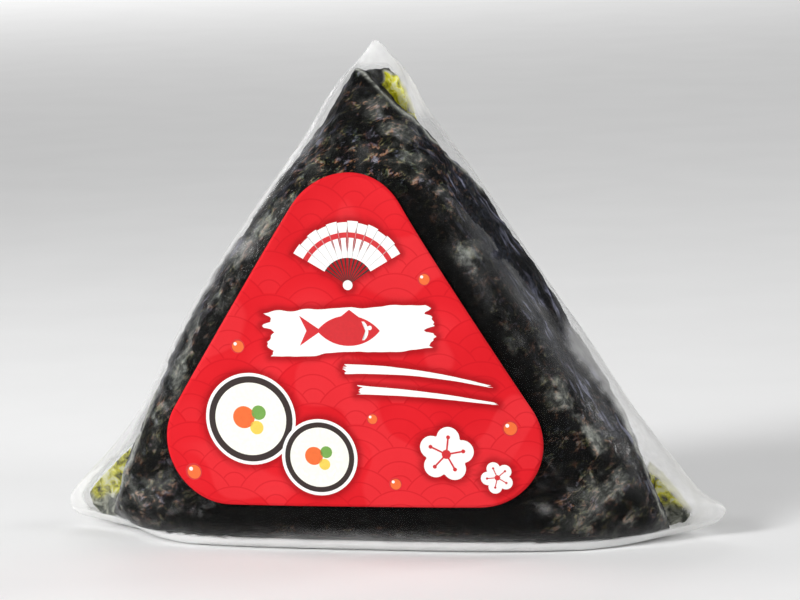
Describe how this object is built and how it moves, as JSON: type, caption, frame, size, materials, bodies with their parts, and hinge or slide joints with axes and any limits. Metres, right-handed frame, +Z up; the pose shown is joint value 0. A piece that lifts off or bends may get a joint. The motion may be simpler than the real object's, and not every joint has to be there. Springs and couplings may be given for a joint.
{
  "type": "packed onigiri rice ball",
  "caption": "Triangular rice ball wrapped whole in seaweed, sealed in a clear film pack that stands on its base, with a red rounded-triangle paper label on its face.",
  "frame": {"origin": "middle of the pack's base, on the surface it stands on", "axes": "+Z up to the peak, +X along the base, and the labelled face looks along -Y"},
  "size_m": [0.1048, 0.0347, 0.0763],
  "materials": {
    "film": "clear crinkled polypropylene film, glossy, whitish where it stands off the seaweed",
    "label_paper": "red printed paper, smooth and slightly glossy",
    "seaweed": "toasted nori, green-black, crinkled over rice grains, silky sheen",
    "seaweed_edge": "single layer of nori with light behind it, speckled yellow-green"
  },
  "bodies": {
    "root": {"film_pack": "film", "label": "label_paper"}
  },
  "joints": []
}
